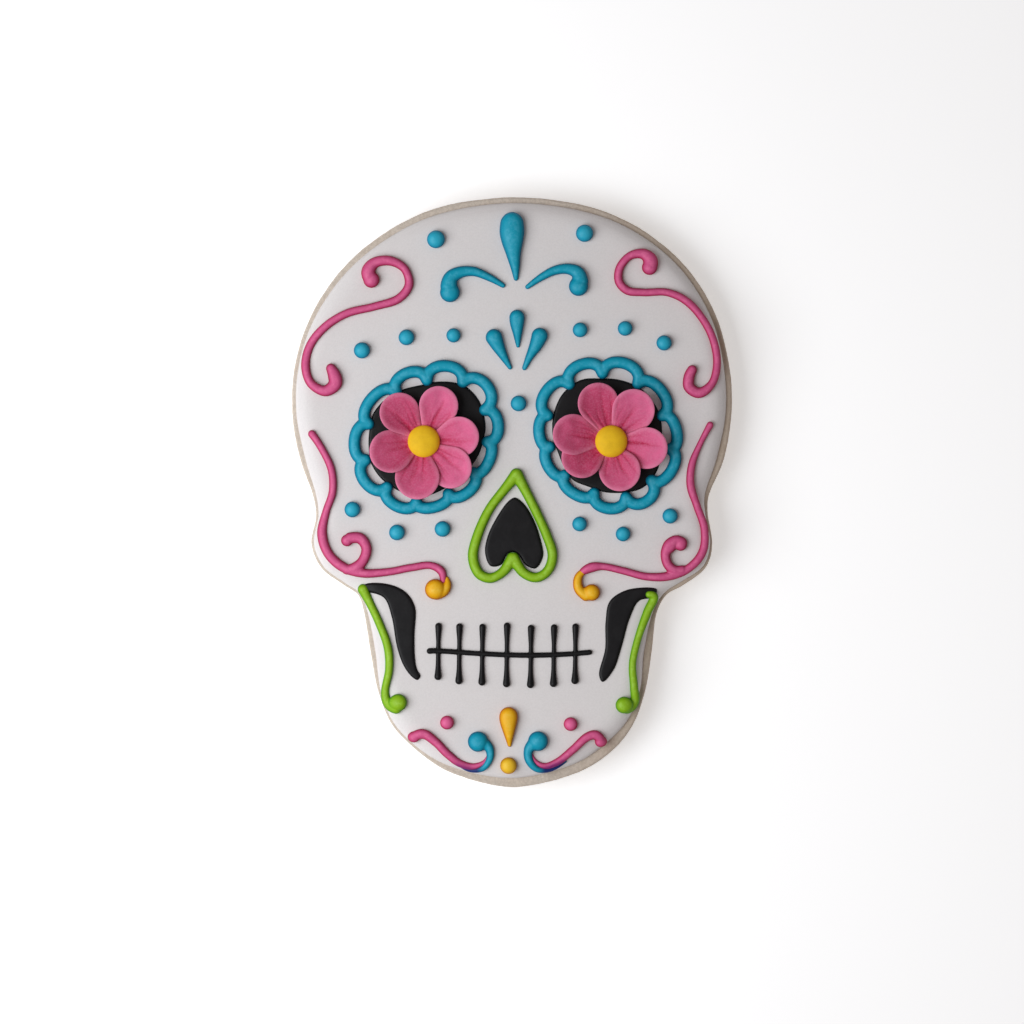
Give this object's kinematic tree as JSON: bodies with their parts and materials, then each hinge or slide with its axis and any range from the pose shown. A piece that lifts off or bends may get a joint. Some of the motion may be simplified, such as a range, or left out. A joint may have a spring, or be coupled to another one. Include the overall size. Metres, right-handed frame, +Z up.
{
  "type": "iced sugar cookie",
  "caption": "Skull-shaped sugar cookie flooded with white royal icing, with piped scrolls, drops and dots, black panels and sugar-paste flowers in the eyes.",
  "frame": {"origin": "middle of the outline's bounding box, on the flat underside that the cookie rests on", "axes": "+Z up, away from the underside and through the iced side; +Y along the long way of the cookie, from the chin to the crown; +X across it"},
  "size_m": [0.0882, 0.1182, 0.0136],
  "materials": {
    "biscuit": "matte baked biscuit, pale gold with browner edges",
    "white_icing": "satin dried royal icing, warm white",
    "black_icing": "satin dried royal icing, near black",
    "turquoise_icing": "satin dried royal icing, turquoise",
    "pink_icing": "satin dried royal icing, deep pink",
    "green_icing": "satin dried royal icing, lime green",
    "orange_icing": "satin dried royal icing, golden orange",
    "pink_sugar_paste": "matte sugar paste, rose pink",
    "yellow_sugar_paste": "matte sugar paste, golden yellow"
  },
  "bodies": {
    "root": {"biscuit": "biscuit", "white_icing": "white_icing", "nose_hollow": "black_icing", "cheek_hollow_left": "black_icing", "cheek_hollow_right": "black_icing", "eye_disc_left": "black_icing", "eye_disc_right": "black_icing", "eye_ring_left": "turquoise_icing", "petal_left_1": "pink_sugar_paste", "petal_left_2": "pink_sugar_paste", "petal_left_3": "pink_sugar_paste", "petal_left_4": "pink_sugar_paste", "petal_left_5": "pink_sugar_paste", "petal_left_6": "pink_sugar_paste", "flower_button_left": "yellow_sugar_paste", "eye_ring_right": "turquoise_icing", "petal_right_1": "pink_sugar_paste", "petal_right_2": "pink_sugar_paste", "petal_right_3": "pink_sugar_paste", "petal_right_4": "pink_sugar_paste", "petal_right_5": "pink_sugar_paste", "petal_right_6": "pink_sugar_paste", "flower_button_right": "yellow_sugar_paste", "nose_outline": "green_icing", "mouth_stitches": "black_icing", "jaw_line_left": "green_icing", "jaw_line_right": "green_icing", "crown_drop": "turquoise_icing", "crown_curl_left": "turquoise_icing", "crown_curl_right": "turquoise_icing", "forehead_drop_left": "turquoise_icing", "forehead_drop_middle": "turquoise_icing", "forehead_drop_right": "turquoise_icing", "chin_drop": "orange_icing", "brow_scroll_left": "pink_icing", "brow_scroll_right": "pink_icing", "cheek_scroll_left": "pink_icing", "cheek_scroll_right": "pink_icing", "cheek_hook_left": "orange_icing", "cheek_hook_right": "orange_icing", "chin_scroll_left": "pink_icing", "chin_scroll_right": "pink_icing", "chin_curl_left": "turquoise_icing", "chin_curl_right": "turquoise_icing"}
  },
  "joints": []
}
